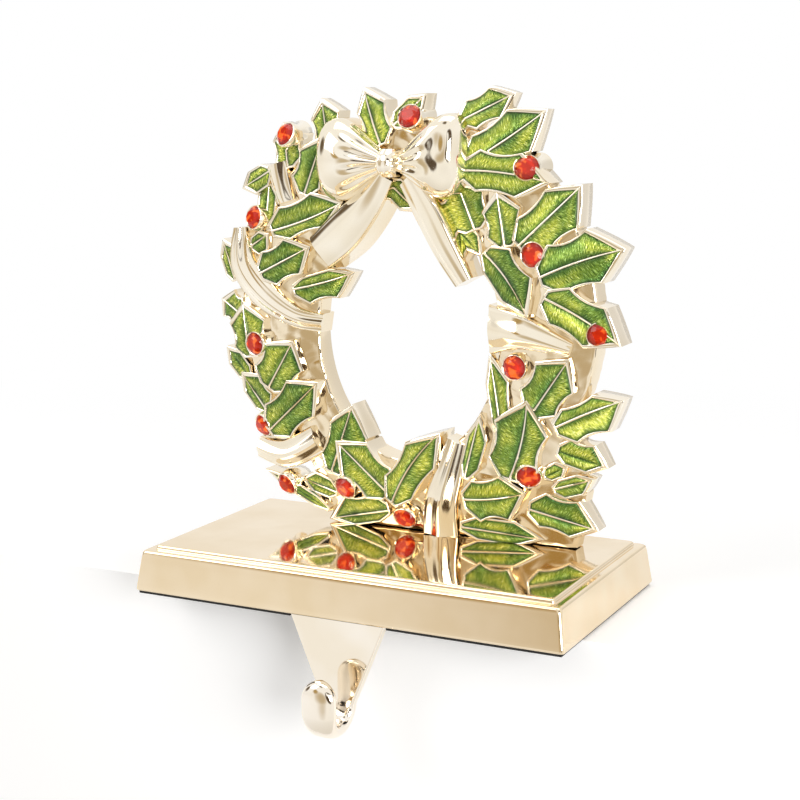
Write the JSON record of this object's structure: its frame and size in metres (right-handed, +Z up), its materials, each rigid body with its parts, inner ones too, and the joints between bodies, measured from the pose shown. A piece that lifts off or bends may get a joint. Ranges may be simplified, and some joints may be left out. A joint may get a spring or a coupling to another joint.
{
  "type": "stocking holder",
  "caption": "Weighted gold-plated shelf plinth carrying an upright holly wreath with a bow, green enamel and red stones, with a hook at its front edge for a hanging stocking.",
  "frame": {"origin": "middle of the pad's underside, on the shelf's top", "axes": "+X along the front to the viewer's right, +Y back over the shelf, +Z up"},
  "size_m": [0.1308, 0.0845, 0.1719],
  "materials": {
    "gold_plate": "bright pale gold plating",
    "pad": "black felt",
    "screw": "zinc-plated steel",
    "enamel": "translucent green enamel, glossy",
    "stone": "faceted red glass with a foil back"
  },
  "bodies": {
    "root": {"base_casting": "gold_plate", "hook": "gold_plate", "wreath_casting": "gold_plate", "base_pad": "pad", "hook_screw": "screw", "leaf_enamel": "enamel", "rhinestone_01": "stone", "rhinestone_02": "stone", "rhinestone_03": "stone", "rhinestone_04": "stone", "rhinestone_05": "stone", "rhinestone_06": "stone", "rhinestone_07": "stone", "rhinestone_08": "stone", "rhinestone_09": "stone", "rhinestone_10": "stone", "rhinestone_11": "stone", "rhinestone_12": "stone", "rhinestone_13": "stone"}
  },
  "joints": []
}
